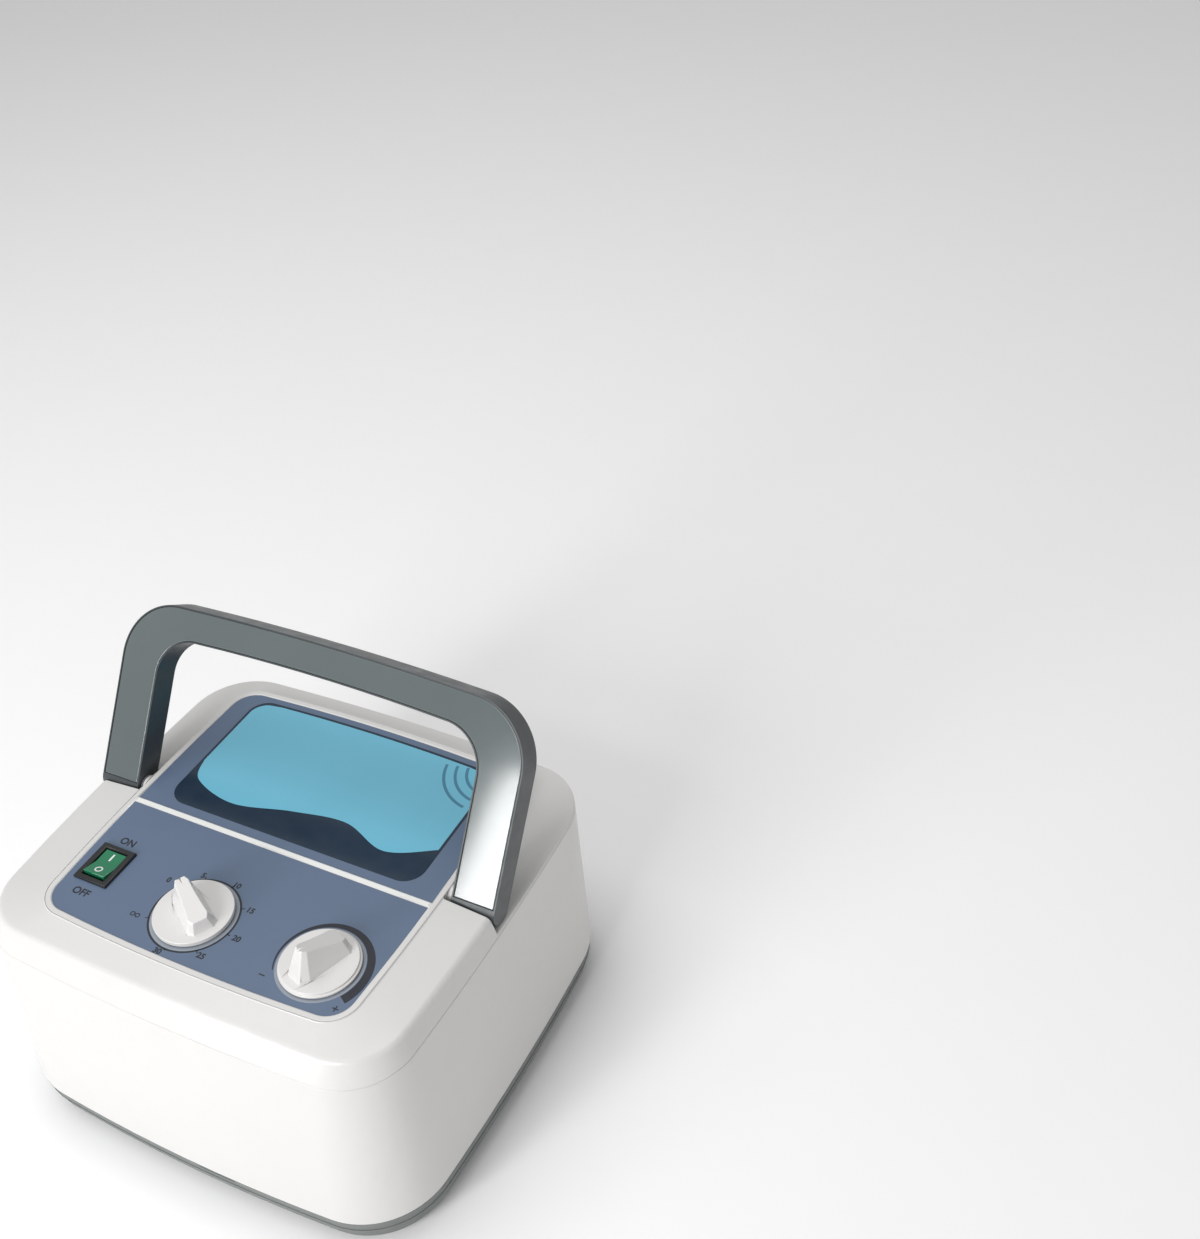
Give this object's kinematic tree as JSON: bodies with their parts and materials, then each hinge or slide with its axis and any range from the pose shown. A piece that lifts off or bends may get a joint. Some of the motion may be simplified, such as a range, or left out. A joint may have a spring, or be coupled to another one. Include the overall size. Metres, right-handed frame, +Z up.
{
  "type": "compression therapy pump",
  "caption": "Table-top air pump console for compression sleeves, with a printed sloping-edge top, pointer knobs, a rocker switch and a fold-down carrying handle.",
  "frame": {"origin": "on the floor, under the middle of the body's outline", "axes": "+X to the user's right along the control panel, +Y to the rear, +Z up"},
  "size_m": [0.232, 0.2144, 0.1978],
  "materials": {
    "cover_white": "satin moulded ABS",
    "housing_white": "satin moulded ABS",
    "tray_grey": "fine texture moulded ABS",
    "panel_print": "printed polycarbonate sheet",
    "window_print": "clear sheet printed behind",
    "handle_dark": "gloss moulded plastic",
    "handle_grey": "high gloss moulded plastic",
    "knob_white": "gloss moulded plastic",
    "switch_black": "gloss moulded plastic",
    "rocker_green": "translucent moulded plastic",
    "steel": "zinc plated",
    "laminations": "stacked electrical steel",
    "nickel": "nickel plated brass",
    "brass": "turned",
    "copper_winding": "varnished copper wire",
    "aluminium_bar": "machined",
    "magnet": "plated magnet",
    "motor_can": "plated can",
    "inner_grey": "moulded acetal",
    "outlet_grey": "moulded ABS",
    "black_plastic": "moulded nylon",
    "rubber_black": "matt",
    "hose_clear": "silicone",
    "lead_sleeve": "PVC sleeve"
  },
  "bodies": {
    "casing": {"top_cover": "cover_white", "main_housing": "housing_white", "base_tray": "tray_grey", "control_overlay": "panel_print", "display_overlay": "panel_print", "display_window": "window_print", "handle_washers": "inner_grey", "switch_body": "switch_black", "switch_terminals": "nickel", "timer_mechanism": "inner_grey", "timer_nut": "steel", "timer_terminals": "nickel", "regulator_body": "brass", "regulator_nut": "steel", "regulator_spring": "steel", "pump_frame": "steel", "diaphragms": "rubber_black", "pump_heads": "inner_grey", "head_screws": "steel", "pump_core": "laminations", "pump_coils": "copper_winding", "pump_mounts": "rubber_black", "distributor_motor": "motor_can", "distributor_body": "inner_grey", "distributor_cap": "inner_grey", "distributor_screws": "steel", "outlet_panel": "outlet_grey", "outlet_sockets": "outlet_grey", "outlet_seals": "rubber_black", "outlet_screws": "steel", "power_inlet": "black_plastic", "inlet_pins": "nickel", "terminal_block": "black_plastic", "terminal_screws": "steel", "cover_screws": "steel", "tray_screws": "steel", "rubber_feet": "rubber_black", "pressure_hoses": "hose_clear", "hose_tees": "inner_grey", "outlet_hoses": "hose_clear", "mains_leads": "lead_sleeve"},
    "handle": {"handle_back": "handle_dark", "handle_face": "handle_grey", "handle_pins": "steel"},
    "rocker": {"power_rocker": "rocker_green"},
    "timer": {"timer_knob": "knob_white", "timer_spindle": "steel"},
    "pressure": {"pressure_knob": "knob_white", "regulator_stem": "steel"},
    "needle": {"regulator_needle": "brass"},
    "armature": {"pump_armature": "aluminium_bar", "armature_magnets": "magnet"},
    "rotor": {"distributor_rotor": "inner_grey", "distributor_shaft": "steel"}
  },
  "joints": [
    {"name": "handle_fold", "type": "hinge", "parent": "casing", "child": "handle", "pos_m": [0, 0.0099, 0.1173], "axis": [-1, 0, 0], "range_deg": [-34.5, 55]},
    {"name": "rocker_tilt", "type": "hinge", "parent": "casing", "child": "rocker", "pos_m": [-0.0679, -0.0433, 0.121], "axis": [1, 0, 0], "range_deg": [0, 16]},
    {"name": "timer_turn", "type": "hinge", "parent": "casing", "child": "timer", "pos_m": [-0.0109, -0.05, 0.12], "axis": [0, 0, 1], "range_deg": [-238, 59]},
    {"name": "pressure_turn", "type": "hinge", "parent": "casing", "child": "pressure", "pos_m": [0.0568, -0.05, 0.12], "axis": [0, 0, 1], "range_deg": [-283, 0]},
    {"name": "needle_slide", "type": "slide", "parent": "casing", "child": "needle", "axis": [0, 0, 1], "range_m": [-0.002, 0], "deforming": ["regulator_spring"]},
    {"name": "armature_slide", "type": "slide", "parent": "casing", "child": "armature", "axis": [1, 0, 0], "range_m": [-0.0012, 0.0012], "stiffness_N_per_m": 2000},
    {"name": "rotor_spin", "type": "hinge", "parent": "casing", "child": "rotor", "pos_m": [0.0568, 0.02, 0.045], "axis": [0, 0, 1], "continuous": true}
  ],
  "couplings": [
    {"joint": "needle_slide", "follows": "pressure_turn", "m_per_rad": 0.000404}
  ]
}
